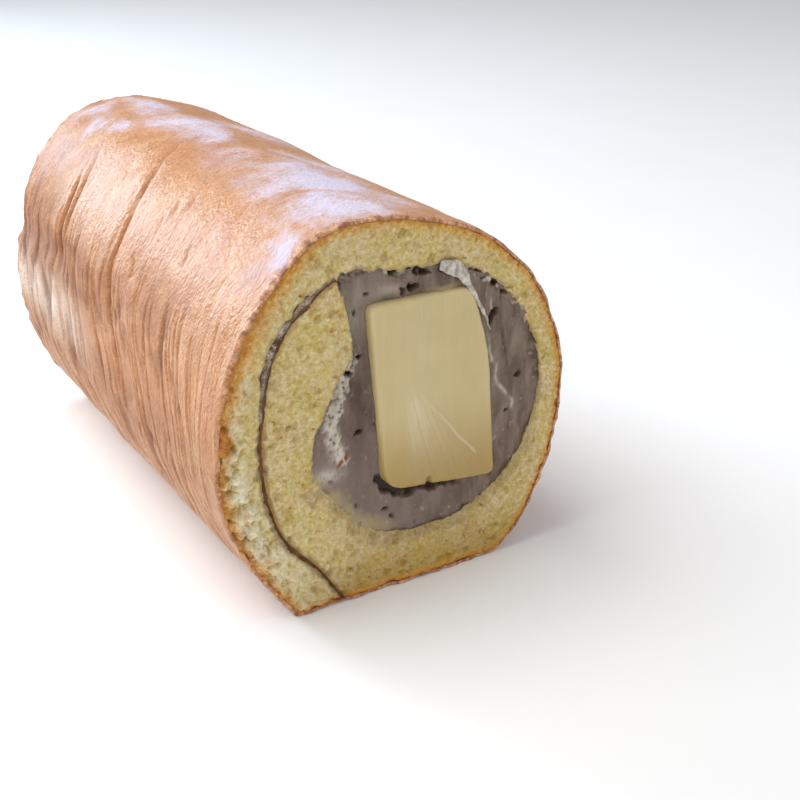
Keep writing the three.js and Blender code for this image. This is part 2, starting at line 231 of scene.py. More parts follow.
class Roll:
    """The roll's outlines in millimetres. y is 0 at the cut that shows and grows along the roll."""

    def __init__(self, sizes):
        for name in RollSizes.__annotations__:
            setattr(self, name, 1000 * getattr(sizes, name))
        self.middle = np.array((MIDDLE_X, self.height / 2))
        self.paste = self.outline(PASTE_PATH, True)
        self.seam = self.outline(SEAM_PATH)
        end = self.seam[-1, 0]
        self.skin = np.vstack([[(end - 0.3, 0)], self.outline(SKIN_PATH), [(end + 0.3, 0)]])
        self.mouth = self.angle(self.seam[-1:])[0]

    def outline(self, path, closed=False):
        return spline(np.array(path) * (self.width / 100, self.height / 100), closed)

    def angle(self, points, centre=None):
        """Angle of each point about the middle, from 0 to 360 degrees."""
        d = points - (self.middle if centre is None else centre)
        return np.degrees(np.arctan2(d[..., 1], d[..., 0])) % 360

    def reach(self, line, theta, centre=None):
        """How far the line is from the middle in each direction."""
        centre = self.middle if centre is None else centre
        return np.interp(theta, self.angle(line, centre), np.hypot(*(line - centre).T), period=360)

    def bearing(self, x, z, start=0):
        """Angle of a place about the point halfway up at x = 0, in degrees, from start to start + 360."""
        return (np.degrees(np.arctan2(z - self.height / 2, x)) - start) % 360 + start

    def seam_share(self, theta):
        """How far along the seam a direction meets it, from 0 to 1."""
        run = travelled(self.seam)
        return np.interp(theta, self.angle(self.seam), run / run[-1])

    def along_seam(self, share):
        """Points of the seam and the directions away from the middle there."""
        run = travelled(self.seam)
        at = points_at(self.seam, run, share * run[-1])
        way = np.gradient(at, axis=0)
        return at, np.stack([way[:, 1], -way[:, 0]], 1) / np.hypot(*way.T)[:, None]

    def film_half(self, share):
        return self.film / 2 * (0.35 + 1.25 * bell(share - 0.25, 0.05) + 0.9 * bell(share - 0.13, 0.02))

    def cut(self, far, z, back):
        """y at a height, so far inside the near cut or, if far is 1, inside the far cut, which leans."""
        return self.length + self.far_lean * (z / self.height - 0.35) - back if far else back

    def relief(self, along, angle):
        """Folds and waves of the skin: how far it stands out at a place."""
        out = 0
        for place, first, last, depth, width in FOLDS:
            ends = plateau(first, first + 22, last - 20, last, angle)
            line = self.from_fold(along, angle, place, first)
            rise = 0.5 * bell(line, width) - 0.2 * bell(line - 2.4 * width, 1.2 * width)
            out = out - depth * ends * rise
        c, s = np.cos(np.radians(angle)), np.sin(np.radians(angle))
        wide, fine = self.width / 68, self.width / 14
        out = out + 0.8 * noise(wide * c + 7, along / 34, wide * s + 3)
        out = out + 0.22 * noise(fine * c, along / 7, fine * s + 11)
        out = out + 0.35 * noise(wide * 2.2 * c, along / 13, wide * 2.2 * s + 21)
        return out - 1.1 * smooth(92, 112, along) * bell(angle - 163, 5)

    def from_fold(self, along, angle, place, first):
        """Distance along the roll from a fold. Those on the left flank curl to the far end as they rise."""
        curl = 0.009 * np.maximum(0, 146 - angle) ** 2 if first > 60 else 0
        return along - place - curl

    def wrinkles(self, along, angle):
        """Fine creases round the roll, closest low on its left side, and short nicks."""
        arc = np.radians(angle) * self.width / 2
        low_left = plateau(138, 172, 222, 240, angle) * smooth(4, 26, along)
        wander = 0.8 * noise(arc / 30, along / 28, 4) + 0.12 * noise(arc / 6, along / 9, 6)
        lines = 1 - np.abs(noise(along / 5.5 + wander, arc / 30, 9))
        fine = 1 - np.abs(noise(along / 2.6 + 1.5 * wander, arc / 18, 19))
        out = -0.55 * (0.1 + low_left) * smooth(0.8, 1, lines)
        out = out - 0.38 * (0.25 + low_left) * smooth(0.72, 1, fine)
        for place, first, last, depth, _ in FOLDS:
            ends = plateau(first, first + 16, last - 14, last, angle) * max(depth, 0)
            line = self.from_fold(along, angle, place, first) - 0.5 * noise(arc / 7, place, 2)
            sharp = 0.5 * bell(angle - 150, 9) * bell(place - 110.5, 1)
            ends = ends * (0.8 + 0.5 * noise(arc / 5, place, 8) + sharp)
            out = out - 0.75 * ends * bell(line, 0.4) + 0.25 * ends * bell(line - 1.2, 0.7)
        for place, turn, depth in NICKS:
            out = out - depth * bell(along - place + 0.25 * (angle - turn), 0.8) * bell(angle - turn, 4)
        return out

    def skin_points(self, along, line, sink=0):
        """Points of the skin: a row for each place along the roll, a column for each place round it."""
        run = np.gradient(line, axis=0)
        run /= np.hypot(*run.T)[:, None]
        x, z = line.T
        angle = self.bearing(x, z, -90)
        free = smooth(0, 9, z)
        under = smooth(0, 25, z) * np.sin(np.pi * np.clip(along / self.length, 0, 1))
        side = np.where(x < 0, smooth(155, 188, angle), 0.4 * smooth(25, -10, angle))
        fine = self.wrinkles(along, angle)
        out = free * (self.relief(along, angle) + fine) - sink
        px = x - run[:, 1] * out
        pz = np.maximum(0, z + run[:, 0] * out)
        return np.stack([px, along - self.fold_lean * side * under, pz], -1), angle, fine * free

    def placed(self, line, y):
        """The points of a line in the cross-section as points in the frame, in metres."""
        return (np.insert(line, 1, y, axis=1) + ORIGIN) / 1000


class Patchwork:
    """Collects grids of points and the faces between them into one closed mesh."""

    def __init__(self):
        self.points, self.faces, self.values, self.total = [], [], {}, 0

    def add(self, x, y, z, **values):
        """Adds a grid or row of points and gives back their numbers in the same arrangement."""
        grid = np.stack(np.broadcast_arrays(x, y, z), -1)
        count = grid[..., 0].size
        self.points.append(grid.reshape(-1, 3))
        for name in set(values) | set(self.values):
            kept = self.values.setdefault(name, [np.zeros(self.total)])
            kept.append(np.broadcast_to(values.get(name, 0.0), grid.shape[:-1]).reshape(-1))
        numbers = np.arange(self.total, self.total + count).reshape(grid.shape[:-1])
        self.total += count
        return numbers

    def places(self, numbers):
        """Places across and up of points that were added."""
        return np.vstack(self.points)[numbers][:, [0, 2]].T

    def cover(self, numbers, wrap=False):
        """Faces over a whole grid."""
        if wrap:
            numbers = np.hstack([numbers, numbers[:, :1]])
        quads = (numbers[:-1, :-1], numbers[:-1, 1:], numbers[1:, 1:], numbers[1:, :-1])
        self.faces.append(np.stack(quads, -1).reshape(-1, 4))

    def join(self, *chains, closed=True):
        """Faces between rows of points, one row after the other."""
        self.cover(np.stack(chains), wrap=closed)

    def fan(self, chain, **values):
        """Closes a hole, whose edge is the chain of points, with faces to its middle."""
        middle = self.add(*np.vstack(self.points)[chain].mean(0), **values)
        self.faces.append(np.stack([chain, np.roll(chain, -1), np.full_like(chain, middle)], -1))

    def build(self, name, material, split=50):
        """The finished object, at the origin of the frame and in metres."""
        mesh = bpy.data.meshes.new(name)
        points = (np.vstack(self.points) + ORIGIN) / 1000
        mesh.from_pydata(points.tolist(), [], [face for block in self.faces for face in block.tolist()])
        for label, parts in self.values.items():
            layer = mesh.attributes.new(label, "FLOAT", "POINT")
            layer.data.foreach_set("value", np.concatenate(parts).astype(np.float32))
        return finished(name, mesh, material, split)


def finished(name, mesh, material, split):
    """Turns all faces outwards, shades them softly below the split angle and puts the piece in the scene."""
    shape = bmesh.new()
    shape.from_mesh(mesh)
    bmesh.ops.recalc_face_normals(shape, faces=shape.faces)
    shape.to_mesh(mesh)
    shape.free()
    mesh.polygons.foreach_set("use_smooth", [True] * len(mesh.polygons))
    mesh.set_sharp_from_angle(angle=math.radians(split))
    mesh.materials.clear()
    mesh.materials.append(material)
    return put(name, mesh)


def put(name, data):
    """A new object in the scene."""
    thing = bpy.data.objects.new(name, data)
    bpy.context.scene.collection.objects.link(thing)
    return thing


def rim_of(numbers):
    """The numbers round the edge of a grid, in order."""
    return np.concatenate([numbers[0], numbers[1:, -1], numbers[-1, -2::-1], numbers[-2:0:-1, 0]])


def claim(piece, replaced):
    """Ties a finished piece to the frame."""
    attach(piece, "root")
    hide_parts(replaced)


# Materials

# What a paint function gives back, in this order and as far as it needs them
LOOKS = (
    "Base Color", "Roughness", "Specular IOR Level", "Normal",
    "Subsurface Weight", "Subsurface Radius", "Subsurface Scale",
)


def linear(code):
    """An sRGB hex colour as linear light."""
    parts = [int(code[n : n + 2], 16) / 255 for n in (1, 3, 5)]
    return (*(c / 12.92 if c <= 0.04045 else ((c + 0.055) / 1.055) ** 2.4 for c in parts), 1)


def plug(tree, port, value):
    """Links a value that is a socket and sets any other."""
    if isinstance(value, bpy.types.NodeSocket):
        tree.links.new(value, port)
    else:
        port.default_value = value


def node(tree, kind, inputs=None, **settings):
    """Adds one node with its settings and inputs."""
    made = tree.nodes.new(kind)
    for name, value in settings.items():
        setattr(made, name, value)
    for name, value in (inputs or {}).items():
        plug(tree, made.inputs[name], value)
    return made


def socket(tree, kind, inputs=None, port=0, **settings):
    """Adds one node and gives back one of its outputs."""
    return node(tree, kind, inputs, **settings).outputs[port]


def mix(tree, factor, first, second):
    """The second colour laid over the first. Colours are sockets, hex codes or linear values."""
    first, second = (linear(c) if isinstance(c, str) else c for c in (first, second))
    ports = {0: factor, 6: first, 7: second}
    return socket(tree, "ShaderNodeMix", ports, 2, data_type="RGBA", clamp_factor=True)


def sums(tree, operation, *values):
    """All the values added, subtracted or multiplied, one after the other."""
    total = values[0]
    for value in values[1:]:
        total = socket(tree, "ShaderNodeMath", {0: total, 1: value}, operation=operation)
    return total


def between(tree, value, low, high, start=0.0, end=1.0):
    """value from low to high turned into start to end."""
    ports = {"Value": value, "From Min": low, "From Max": high, "To Min": start, "To Max": end}
    return socket(tree, "ShaderNodeMapRange", ports)


def mottle(tree, place, size_mm, detail=3.0, roughness=0.55, stretch=None):
    """Cloudy noise with patches of about that size. stretch makes it longer along an axis."""
    if stretch:
        place = socket(tree, "ShaderNodeMapping", {"Vector": place, "Scale": stretch})
    ports = {"Vector": place, "Scale": 1000 / size_mm, "Detail": detail, "Roughness": roughness}
    return socket(tree, "ShaderNodeTexNoise", ports)


def spot(tree):
    """The place on the object itself, in metres."""
    return socket(tree, "ShaderNodeTexCoord", port="Object")


def stored(tree, name):
    return socket(tree, "ShaderNodeAttribute", port="Fac", attribute_name=name)


def two_tone(tree, pattern, colours, name, low=0.35, high=0.65):
    """The material's dark colour wandering into its light one."""
    pair = (getattr(colours, name + tone) for tone in ("_dark", "_light"))
    return mix(tree, between(tree, pattern, low, high), *pair)


def layered(tree, colour, *layers):
    """Lays colours over one another. Each goes from nothing at low to its weight at high in its pattern."""
    for pattern, low, high, weight, code in layers:
        colour = mix(tree, between(tree, pattern, low, high, 0, weight), colour, code)
    return colour


def stained(tree, colour, **stains):
    """Lays each colour over the last as far as the piece's attribute of that name says."""
    for name, code in stains.items():
        colour = mix(tree, stored(tree, name), colour, code)
    return colour


def bumps(tree, *layers):
    """Bump layers, each (height, depth in mm), one on top of the other."""
    normal = None
    for height, depth in layers:
        ports = {"Height": height, "Distance": depth / 1000, "Strength": 1.0}
        if normal:
            ports["Normal"] = normal
        normal = socket(tree, "ShaderNodeBump", ports)
    return normal


def surface(name, paint, colours):
    """A material whose colour, gloss, bump and depth of light come from one paint function."""
    material = bpy.data.materials.new(name)
    material.use_nodes = True
    tree = material.node_tree
    shader = tree.nodes["Principled BSDF"]
    for port, value in zip(LOOKS, paint(tree, colours)):
        plug(tree, shader.inputs[port], value)
    return material


def skin_paint(tree, colours):
    """Skin of oven-baked sponge that lay on paper in the tin: dry, matt, finely pored, tan where browned,
    with painted shade in its creases and brown band and a painted sheen low at the far end.
    """
    ports = {"X": stored(tree, "around"), "Y": stored(tree, "lengthways")}
    place = socket(tree, "ShaderNodeCombineXYZ", ports)
    place = socket(tree, "ShaderNodeVectorMath", {0: place, "Scale": 0.001}, operation="SCALE")
    patchy = mottle(tree, place, 6, 5, 0.6)
    streak = mottle(tree, place, 1.5, 3, 0.6, (0.4, 1, 1))
    pore = mottle(tree, place, 0.75, 2, 0.6, (0.7, 1, 1))
    colour = layered(
        tree, two_tone(tree, mottle(tree, place, 22), colours, "skin"),
        (patchy, 0.48, 0.7, 0.65, "#b57746"), (patchy, 0.46, 0.3, 0.5, "#e2b48c"),
        (streak, 0.5, 0.7, 0.4, "#deac82"), (pore, 0.5, 0.3, 0.7, "#a56b3c"),
    )
    uneven = between(tree, patchy, 0.35, 0.65, 0.55, 1.15)
    brown = stored(tree, "brown")
    # The brown band and patches: browned skin, and painted shade below the highlight and under the folds
    colour = mix(tree, sums(tree, "MULTIPLY", brown, uneven), colour, colours.scorch_and_shade)
    # Painted sheen low on the left towards the far end, where the floor is reflected
    colour = mix(tree, sums(tree, "MULTIPLY", stored(tree, "pale"), uneven), colour, "#e0c9b6")
    # Painted shade in the folds and fine creases
    colour = stained(tree, colour, crease="#74401d")
    cloud = mottle(tree, place, 7, 5, 0.65)
    speck = mottle(tree, place, 1.0, 3, 0.7, (0.5, 1, 1))
    veil = sums(tree, "MULTIPLY", sums(tree, "ADD", cloud, speck, -1), 1.8)
    dust = stored(tree, "dust")
    drifted = sums(tree, "ADD", dust, sums(tree, "MULTIPLY", veil, between(tree, dust, 0.05, 0.45)))
    drifted = between(tree, drifted, 0.05, 1.05, 0, 0.92)
    colour = mix(tree, drifted, colour, colours.dust)
    crust = mix(tree, between(tree, mottle(tree, place, 1.9, 5, 0.75), 0.42, 0.58), "#8a481b", "#e2ab7e")
    colour = stained(tree, colour, edge=crust)
    dull = between(tree, sums(tree, "ADD", drifted, brown), 0, 0.8, 0.38, 0.75)
    normal = bumps(tree, (pore, 0.45), (streak, 0.3), (patchy, 0.8))
    return colour, dull, 0.75, normal, 0.06, (1.0, 0.5, 0.25), 0.0015


def crumb_paint(tree, colours):
    """Torn and cut sponge, an open foam of egg and flour: matt, pale yellow, toasted beside the skin, with
    painted shade in its hollows.
    """
    place = spot(tree)
    grain = mottle(tree, place, 1.1, 4, 0.7)
    fine = mottle(tree, place, 0.5, 2)
    tint = mottle(tree, place, 5)
    colour = layered(
        tree, two_tone(tree, mottle(tree, place, 9), colours, "crumb"),
        (tint, 0.5, 0.68, 0.5, "#e3cba6"), (tint, 0.5, 0.34, 0.5, "#d8c264"),
        (grain, 0.5, 0.66, 0.7, "#f6e9c2"), (grain, 0.47, 0.33, 0.6, "#c39c45"),
        (mottle(tree, place, 2.6), 0.62, 0.72, 0.6, "#d69a3c"),
    )
    # hollow: painted shade in holes and pockets, between torn clumps and low on the left
    colour = stained(tree, colour, torn="#fff7d8", hollow="#b48f3c", stain="#947a58")
    ragged = sums(tree, "ADD", stored(tree, "rim"), between(tree, grain, 0.3, 0.7, -0.8, 0.8))
    toast = (ragged, 2.8, 1.0, 0.75, colours.toasted), (ragged, 1.2, 0.3, 0.8, "#c07a2e")
    colour = layered(tree, colour, *toast)
    return colour, 0.92, 0.15, bumps(tree, (fine, 0.35), (grain, 0.5)), 0.15, (1.0, 0.75, 0.35), 0.002


def paste_paint(tree, colours):
    """Steamed taro mashed with cream: dense, a little moist, grey with a violet cast, drawn by the knife,
    with painted shade in its pits, crack and voids.
    """
    place = spot(tree)
    drag = mottle(tree, place, 2.6, 4, 0.6, (1, 1, 0.3))
    spots = mottle(tree, place, 1.2, 4, 0.75)
    colour = layered(
        tree, two_tone(tree, mottle(tree, place, 11), colours, "paste"),
        (drag, 0.45, 0.68, 0.7, "#978573"), (drag, 0.46, 0.3, 0.65, "#4f3d30"),
    )
    foamy = mix(tree, between(tree, spots, 0.5, 0.54), "#a58e76", "#4f3b29")
    foamy = mix(tree, between(tree, spots, 0.44, 0.38), foamy, "#cbb9a2")
    colour = stained(
        tree, colour, lilac="#85726a", fade="#b39f72", pale="#d8cdbb", fleck="#8f5220", film=foamy,
        hollow="#36271b",
    )
    normal = bumps(tree, (mottle(tree, place, 0.7), 0.12), (drag, 0.4))
    return colour, 0.55, 0.4, normal, 0.08, (1.0, 0.8, 0.7), 0.001


def pudding_paint(tree, colours):
    """Set milk pudding: a firm, wet gel, cloudy and even, with the fine lines that a knife leaves in it."""
    place = spot(tree)
    ports = {"W": stored(tree, "stroke"), "Scale": 2.6, "Detail": 3.0}
    line = socket(tree, "ShaderNodeTexNoise", ports, noise_dimensions="1D")
    broken = between(tree, mottle(tree, place, 8, 3, stretch=(1, 1, 0.4)), 0.35, 0.65, 0.3, 1)
    line = sums(tree, "MULTIPLY", line, broken, stored(tree, "lined"))
    colour = two_tone(tree, mottle(tree, place, 14, 2), colours, "pudding")
    colour = layered(tree, colour, (line, 0.15, 0.55, 0.6, "#f1e3bd"))
    # Darker towards the bottom of the bar
    colour = stained(tree, colour, deep="#b3944f", scratch="#f3e9cc")
    return colour, 0.38, 0.5, bumps(tree, (line, 0.55)), 0.25, (1.0, 0.85, 0.5), 0.003


def seam_paint(tree, colours):
    """The skin of the inner turn where the knife crossed it: a thin brown line, darker where it is damp."""
    patchy = mottle(tree, spot(tree), 2.5, 4, 0.6)
    return two_tone(tree, patchy, colours, "seam"), 0.8, 0.2, bumps(tree, (patchy, 0.2))


def smear_paint(tree, colours):
    """Paste thinned with pudding where the knife dragged the two together: pale, soft and a little wet."""
    cloud = mottle(tree, spot(tree), 1.6, 4, 0.7)
    return two_tone(tree, cloud, colours, "smear", 0.38, 0.62), 0.45, 0.4, bumps(tree, (cloud, 0.15))


def floor_paint(tree, colours):
    """Matt painted board, almost white."""
    return two_tone(tree, mottle(tree, spot(tree), 60, 2), colours, "floor", 0, 1), 0.7, 0.2


# Geometry Nodes


def grow(name, source, build, inputs, material):
    """Runs a node group on a mesh and keeps what it makes as a plain, closed piece."""
    tree = bpy.data.node_groups.new(name, "GeometryNodeTree")
    sockets = {}
    kinds = {label: "Int" if isinstance(value, int) else "Float" for label, value in inputs.items()}
    for label, kind in {"Geometry": "Geometry", **kinds, "Material": "Material"}.items():
        sockets[label] = tree.interface.new_socket(label, in_out="INPUT", socket_type="NodeSocket" + kind)
    tree.interface.new_socket("Geometry", in_out="OUTPUT", socket_type="NodeSocketGeometry")
    entry = node(tree, "NodeGroupInput").outputs
    made = socket(tree, "GeometryNodeRealizeInstances", {"Geometry": build(tree, entry)})
    made = socket(tree, "GeometryNodeSetMaterial", {"Geometry": made, "Material": entry["Material"]})
    node(tree, "NodeGroupOutput", {"Geometry": made})
    holder = put(name + "_source", source)
    modifier = holder.modifiers.new(name, "NODES")
    modifier.node_group = tree
    for label, value in {**inputs, "Material": material}.items():
        modifier[sockets[label].identifier] = value
    graph = bpy.context.evaluated_depsgraph_get()
    mesh = bpy.data.meshes.new_from_object(holder.evaluated_get(graph))
    holder.modifiers.remove(modifier)
    bpy.data.objects.remove(holder)
    if len(mesh.polygons) == 0:
        raise RuntimeError(name + " came out empty")
    return finished(name, mesh, material, 60)


def line_mesh(name, points):
    """A mesh that is only a line through the points."""
    mesh = bpy.data.meshes.new(name)
    mesh.from_pydata(points.tolist(), [(n, n + 1) for n in range(len(points) - 1)], [])
    return mesh


def swayed(tree, geometry, ripples, detail, amount):
    """Moves the points of a shape a little, each its own way, with smooth noise."""
    ripple = socket(tree, "ShaderNodeTexNoise", {"Scale": ripples, "Detail": detail}, 1)
    away = socket(tree, "ShaderNodeVectorMath", {0: ripple, 1: (0.5, 0.5, 0.5)}, operation="SUBTRACT")
    sway = socket(tree, "ShaderNodeVectorMath", {0: away, "Scale": amount}, operation="SCALE")
    return socket(tree, "GeometryNodeSetPosition", {"Geometry": geometry, "Offset": sway})


def swept(tree, entry, profile, scale):
    """Draws a profile along the line that comes in and sways what it makes."""
    curve = socket(tree, "GeometryNodeMeshToCurve", {0: entry["Geometry"]})
    ports = {"Curve": curve, "Profile Curve": profile, "Scale": scale, "Fill Caps": True}
    return swayed(tree, socket(tree, "GeometryNodeCurveToMesh", ports), entry["Ripples"], 3.0, entry["Sway"])


def band_nodes(tree, entry):
    """A flat band that follows a line, as deep as the roll is long, with a slightly wavering edge."""
    ports = {"Width": entry["Depth"], "Height": entry["Thickness"]}
    return swept(tree, entry, socket(tree, "GeometryNodeCurvePrimitiveQuadrilateral", ports), 1.0)


def bits_nodes(tree, entry):
    """Small uneven lumps scattered over a surface, half sunk into it."""
    chosen = socket(tree, "GeometryNodeInputNamedAttribute", {"Name": "litter"}, data_type="FLOAT")
    density = sums(tree, "MULTIPLY", entry["Density"], chosen)
    ports = {"Mesh": entry["Geometry"], "Density": density, "Seed": entry["Seed"]}
    points = socket(tree, "GeometryNodeDistributePointsOnFaces", ports)
    ball = socket(tree, "GeometryNodeMeshIcoSphere", {"Radius": entry["Size"], "Subdivisions": 2})
    ports = {"Points": points, "Instance": ball}
    ranges = {"Scale": ((0.5, 0.5, 0.4), (1.5, 1.2, 0.9)), "Rotation": ((-3.1, -3.1, -3.1), (3.1, 3.1, 3.1))}
    for name, (low, high) in ranges.items():
        limits = {0: low, 1: high, "Seed": entry["Seed"]}
        ports[name] = socket(tree, "FunctionNodeRandomValue", limits, data_type="FLOAT_VECTOR")
    laid = socket(tree, "GeometryNodeInstanceOnPoints", ports)
    real = socket(tree, "GeometryNodeRealizeInstances", {"Geometry": laid})
    return swayed(tree, real, entry["Lumps"], 2.0, entry["Size"])


def smear_nodes(tree, entry):
    """A flat uneven ridge that follows a line, wide and narrow by turns, and thins out at both ends."""
    share = socket(tree, "GeometryNodeSplineParameter")
    ports = {"Scale": sums(tree, "MULTIPLY", entry["Ripples"], 0.4), "Detail": 2.0}
    uneven = between(tree, socket(tree, "ShaderNodeTexNoise", ports), 0.38, 0.62, 0.75, 1.15)
    steps = ((0, 0.12, 0.5, 1.0), (0.2, 0.4, 1.6, 0.8), (0.42, 1.0, 1.0, 0.12))
    taper = sums(tree, "MULTIPLY", *(between(tree, share, *step) for step in steps), uneven)
    ports = {"Resolution": 18, "Radius": entry["Thickness"]}
    bent = swept(tree, entry, socket(tree, "GeometryNodeCurvePrimitiveCircle", ports), taper)
    place = node(tree, "ShaderNodeSeparateXYZ", {0: socket(tree, "GeometryNodeInputPosition")}).outputs
    lifted = sums(tree, "MULTIPLY", sums(tree, "SUBTRACT", place[1], entry["Plane"]), entry["Flatness"])
    proud = between(tree, place[2], 0.0755, 0.0715, 0, -0.0008)  # it rises with the bar beside it
    flat = {0: place[0], 1: sums(tree, "ADD", lifted, proud, entry["Plane"]), 2: place[2]}
    ports = {"Geometry": bent, "Position": socket(tree, "ShaderNodeCombineXYZ", flat)}
    return socket(tree, "GeometryNodeSetPosition", ports)


# Pieces


def foam(x, z, seed, size):
    """The open texture of cut sponge: how far its surface lies back, and how much painted shade each place
    gets in its holes and pockets.
    """
    wx = x + 0.6 * noise(x / 1.2, z / 1.2, seed)
    wz = z + 0.6 * noise(x / 1.2, z / 1.2, seed + 3)
    near, own = grains(wx / (0.95 * size), wz / (0.95 * size), seed)
    wide, mark = grains(wx / (2.7 * size), wz / (2.2 * size), seed + 31)
    dome = 0.24 * np.clip(1 - (near / 0.75) ** 2, 0, 1) * (1 + 0.7 * own)
    pocket = smooth(0.3, 0.9, mark) * smooth(0.6, 0.2, wide)
    hole = smooth(0.9, 0.98, own) * smooth(0.42, 0.15, near)
    back = 0.3 - dome + 0.5 * pocket + 0.7 * hole + 0.3 * rough(x / 2.2, z / 2.2, seed + 7)
    # The second value is painted shade in the holes, the pockets and between the grains
    return back, np.clip(0.85 * hole + 0.45 * pocket + 0.4 * smooth(0.5, 0.8, near), 0, 1)


def make_crumb(roll, finish, material):
    """The cut sponge as one rolled sheet: a grid along the spiral and through its thickness at each cut."""
    shape = finish.rows, finish.columns
    theta = np.linspace(TIP, roll.mouth + 360 - 0.4, finish.columns)
    turn = np.radians(theta)
    share = roll.seam_share(theta % 360)
    filmed = share < FILM_SHARE
    first, second = theta < roll.mouth, theta > TIP + 360
    gap = np.where(filmed, roll.film_half(share), SEAM_GAP)
    inner = np.where(second, roll.reach(roll.seam, theta) + gap, roll.reach(roll.paste, theta) + 0.05)
    x, z = polar((0, 0), inner, turn)
    inner = inner + np.where(second, 0.3, 0.5 + 0.5 * smooth(22, 32, z)) * rough(x / 1.5, z / 1.5, 13)
    outer = roll.reach(roll.seam, theta) - gap - 0.35
    rings, _, _ = roll.skin_points(np.array([[1.0], [roll.length - 1]]), spaced(roll.skin, 700))
    t = np.linspace(0, 1, finish.rows)[:, None]
    work = Patchwork()
    faces, thicks = [], []
    for far, ring in enumerate(rings):
        skin = roll.reach(ring[:, [0, 2]], theta) - 0.6 * roll.skin_thickness
        thick = np.maximum(np.where(first, outer, skin) - inner, 0.15)
        thicks.append(thick)
        x, z = polar(roll.middle, inner + thick * t, turn)
        from_skin, from_filling = thick * (1 - t), thick * t
        near_paste = np.where(second, 9, from_filling)
        beside_seam = np.where(second, from_filling, np.where(first, from_skin, 9))
        angle = roll.bearing(x, z)
        reach = np.hypot(x, z - roll.height / 2) / (roll.height / 2)
        torn = smooth(0.81, 0.94, reach) * bell(angle - 195, 38)
        toast = 1 + 0.8 * bell(angle - 148, 32)
        clumps = (1 - 0.5 * far) * rough(x / 1.7, z / 1.7, 8 + far)
        ragged = noise(x / 2, z / 2, 12 + far)
        back, hollow = foam(x, z, 3 + 40 * far, finish.grain)
        back = back + 0.15 + 0.45 * noise(x / 4, z / 4, 5 + 9 * far) + torn * (2.3 * clumps - 0.15)
        back = back + 0.5 * bell(from_skin, 0.35) + 0.4 * smooth(28, 40, z) * bell(from_filling, 0.4)
        # Painted shadow low on the left of the cut, near the base
        foot_shadow = 0.6 * smooth(17, 1, z) * smooth(-30, -10, x)
        # Painted shade in the foam's hollows and between the torn clumps
        hollow = 0.8 * hollow + foot_shadow + 0.7 * torn * smooth(0.25, 0.7, clumps)
        soft = smooth(40, 26, z)
        moist = 0.5 * smooth(1.0 + 4.5 * soft, 0.1, near_paste + (0.6 + 1.4 * soft) * ragged)
        seamed = smooth(1.2, 0.2, beside_seam + 0.5 * noise(x / 1.2, z / 1.2, 18))
        bare = (1 - far) * sum(bell(np.hypot(x - px, z - pz) + 0.5 * ragged, size) for px, pz, size in BARE)
        rim = np.where(first, 1.5 + 2 * from_skin, from_skin / toast) - 2.5 * bare
        faces.append(work.add(
            x, roll.cut(far, z, back), z, rim=rim, litter=0.3 + torn * 3, hollow=np.clip(hollow, 0, 1),
            stain=np.maximum(moist, (0.8 - 0.4 * filmed) * seamed), torn=torn * smooth(0.5, -0.1, clumps),
        ))
    at = rim_of(np.broadcast_to(np.arange(finish.columns), shape))
    level = rim_of(np.broadcast_to(t, shape))
    loops = []
    for far, depth, pull in ((0, 2.2, 0.25), (0, 7, 1.0), (1, 7, 1.0), (1, 2.2, 0.25)):
        thick = thicks[far][at]
        kept = pull * np.minimum(0.42, 3.2 / thick)
        x, z = polar(roll.middle, inner[at] + thick * np.clip(level, kept, 1 - kept), turn[at])
        loops.append(work.add(x, roll.cut(far, z, depth), z, rim=0.4))
    for face in faces:
        work.cover(face)
    work.join(rim_of(faces[0]), *loops, rim_of(faces[1]))
    return work.build("sponge_crumb", material)


